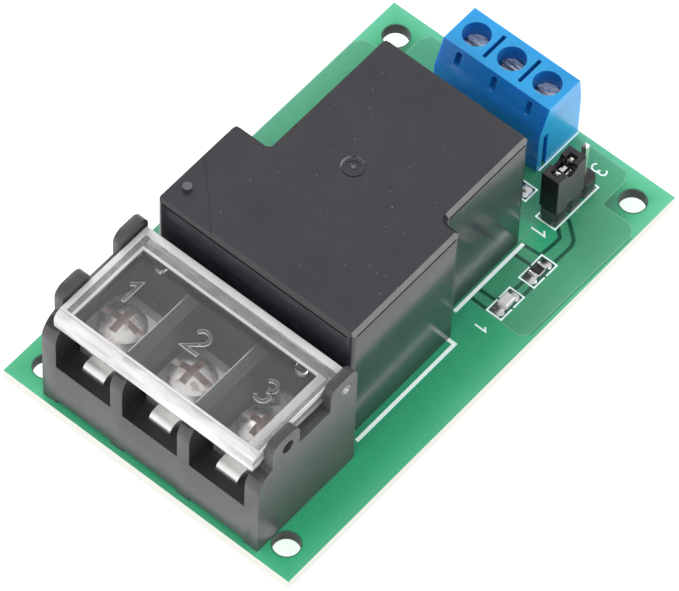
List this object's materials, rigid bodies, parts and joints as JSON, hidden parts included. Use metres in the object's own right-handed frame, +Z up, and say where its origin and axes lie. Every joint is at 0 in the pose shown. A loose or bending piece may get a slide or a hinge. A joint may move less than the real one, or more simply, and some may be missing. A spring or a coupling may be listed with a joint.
{
  "type": "power relay board",
  "caption": "Green circuit board with a black stepped power relay, a covered barrier strip, a blue screw terminal block, a selector jumper and an indicator lamp.",
  "frame": {"origin": "middle of the four mounting holes, on the underside of the board", "axes": "+Z up out of the board, +Y along the long side from the barrier strip to the blue block"},
  "size_m": [0.041, 0.0666, 0.0232],
  "materials": {
    "board": "solder mask over copper",
    "solder": "bright tin",
    "relay_case": "moulded, satin",
    "relay_base": "moulded",
    "bobbin": "moulded",
    "copper_wire": "enamelled copper wire",
    "soft_iron": "nickel plated iron",
    "spring_bronze": "spring bronze",
    "contact_silver": "silver alloy",
    "strip_copper": "copper strip",
    "tinned": "tinned",
    "barrier_black": "moulded, satin",
    "clear": "clear moulding",
    "nickel": "nickel plated",
    "input_blue": "moulded, satin",
    "header_black": "moulded",
    "gilt": "plated",
    "lamp_base": "laminate with plated ends",
    "lamp_lens": "clear resin",
    "chip": "glazed with tinned ends",
    "mould_black": "moulded with tinned leads"
  },
  "bodies": {
    "board": {"circuit_board": "board", "solder_joints": "solder", "relay_cover": "relay_case", "relay_base": "relay_base", "coil_bobbin": "bobbin", "coil_winding": "copper_wire", "coil_core": "soft_iron", "relay_yoke": "soft_iron", "make_terminal": "strip_copper", "make_contact": "contact_silver", "break_terminal": "strip_copper", "break_contact": "contact_silver", "common_terminal": "strip_copper", "coil_pins": "tinned", "barrier_body": "barrier_black", "barrier_terminal_1": "tinned", "barrier_terminal_2": "tinned", "barrier_terminal_3": "tinned", "input_housing": "input_blue", "input_contact_1": "tinned", "input_contact_2": "tinned", "input_contact_3": "tinned", "header_strip": "header_black", "header_pins": "gilt", "lamp_base": "lamp_base", "lamp_lens": "lamp_lens", "lamp_resistor": "chip", "base_resistor": "chip", "driver_transistor": "mould_black", "clamp_diode": "mould_black"},
    "flip_cover": {"barrier_cover": "clear"},
    "armature": {"relay_armature": "soft_iron", "contact_blade": "spring_bronze", "moving_contact": "contact_silver"},
    "washer_1": {"clamp_washer_1": "nickel"},
    "screw_1": {"clamp_screw_1": "nickel"},
    "washer_2": {"clamp_washer_2": "nickel"},
    "screw_2": {"clamp_screw_2": "nickel"},
    "washer_3": {"clamp_washer_3": "nickel"},
    "screw_3": {"clamp_screw_3": "nickel"},
    "cage_1": {"input_cage_1": "nickel"},
    "cage_screw_1": {"input_screw_1": "nickel"},
    "cage_2": {"input_cage_2": "nickel"},
    "cage_screw_2": {"input_screw_2": "nickel"},
    "cage_3": {"input_cage_3": "nickel"},
    "cage_screw_3": {"input_screw_3": "nickel"},
    "jumper": {"jumper_shell": "header_black", "jumper_clip": "tinned"}
  },
  "joints": [
    {"name": "cover_hinge", "type": "hinge", "parent": "board", "child": "flip_cover", "pos_m": [0.00015, -0.0185, 0.0172], "axis": [-1, 0, 0], "range_deg": [0, 110]},
    {"name": "armature_hinge", "type": "hinge", "parent": "board", "child": "armature", "pos_m": [0.00095, 0.0153, 0.01563], "axis": [1, 0, 0], "range_deg": [0, 3.5], "stiffness_Nm_per_rad": 0.05, "springref_deg": -11.46},
    {"name": "clamp_lift_1", "type": "slide", "parent": "board", "child": "washer_1", "axis": [0, 0, 1], "range_m": [0, 0.0015]},
    {"name": "clamp_turn_1", "type": "hinge", "parent": "washer_1", "child": "screw_1", "pos_m": [-0.00935, -0.0255, 0.012], "axis": [0, 0, 1], "range_deg": [0, 960]},
    {"name": "clamp_lift_2", "type": "slide", "parent": "board", "child": "washer_2", "axis": [0, 0, 1], "range_m": [0, 0.0015]},
    {"name": "clamp_turn_2", "type": "hinge", "parent": "washer_2", "child": "screw_2", "pos_m": [0.00015, -0.0255, 0.012], "axis": [0, 0, 1], "range_deg": [0, 960]},
    {"name": "clamp_lift_3", "type": "slide", "parent": "board", "child": "washer_3", "axis": [0, 0, 1], "range_m": [0, 0.0015]},
    {"name": "clamp_turn_3", "type": "hinge", "parent": "washer_3", "child": "screw_3", "pos_m": [0.00965, -0.0255, 0.012], "axis": [0, 0, 1], "range_deg": [0, 960]},
    {"name": "cage_lift_1", "type": "slide", "parent": "board", "child": "cage_1", "axis": [0, 0, 1], "range_m": [0, 0.0015]},
    {"name": "cage_turn_1", "type": "hinge", "parent": "board", "child": "cage_screw_1", "pos_m": [-0.00608, 0.0299, 0.008], "axis": [0, 0, -1], "range_deg": [0, 1140]},
    {"name": "cage_lift_2", "type": "slide", "parent": "board", "child": "cage_2", "axis": [0, 0, 1], "range_m": [0, 0.0015]},
    {"name": "cage_turn_2", "type": "hinge", "parent": "board", "child": "cage_screw_2", "pos_m": [-0.001, 0.0299, 0.008], "axis": [0, 0, -1], "range_deg": [0, 1140]},
    {"name": "cage_lift_3", "type": "slide", "parent": "board", "child": "cage_3", "axis": [0, 0, 1], "range_m": [0, 0.0015]},
    {"name": "cage_turn_3", "type": "hinge", "parent": "board", "child": "cage_screw_3", "pos_m": [0.00408, 0.0299, 0.008], "axis": [0, 0, -1], "range_deg": [0, 1140]},
    {"name": "jumper_lift", "type": "slide", "parent": "board", "child": "jumper", "axis": [0, 0, 1], "range_m": [0, 0.006]}
  ],
  "couplings": [
    {"joint": "clamp_turn_1", "follows": "clamp_lift_1", "rad_per_m": 10472},
    {"joint": "clamp_turn_2", "follows": "clamp_lift_2", "rad_per_m": 10472},
    {"joint": "clamp_turn_3", "follows": "clamp_lift_3", "rad_per_m": 10472},
    {"joint": "cage_turn_1", "follows": "cage_lift_1", "rad_per_m": 12566},
    {"joint": "cage_turn_2", "follows": "cage_lift_2", "rad_per_m": 12566},
    {"joint": "cage_turn_3", "follows": "cage_lift_3", "rad_per_m": 12566}
  ]
}
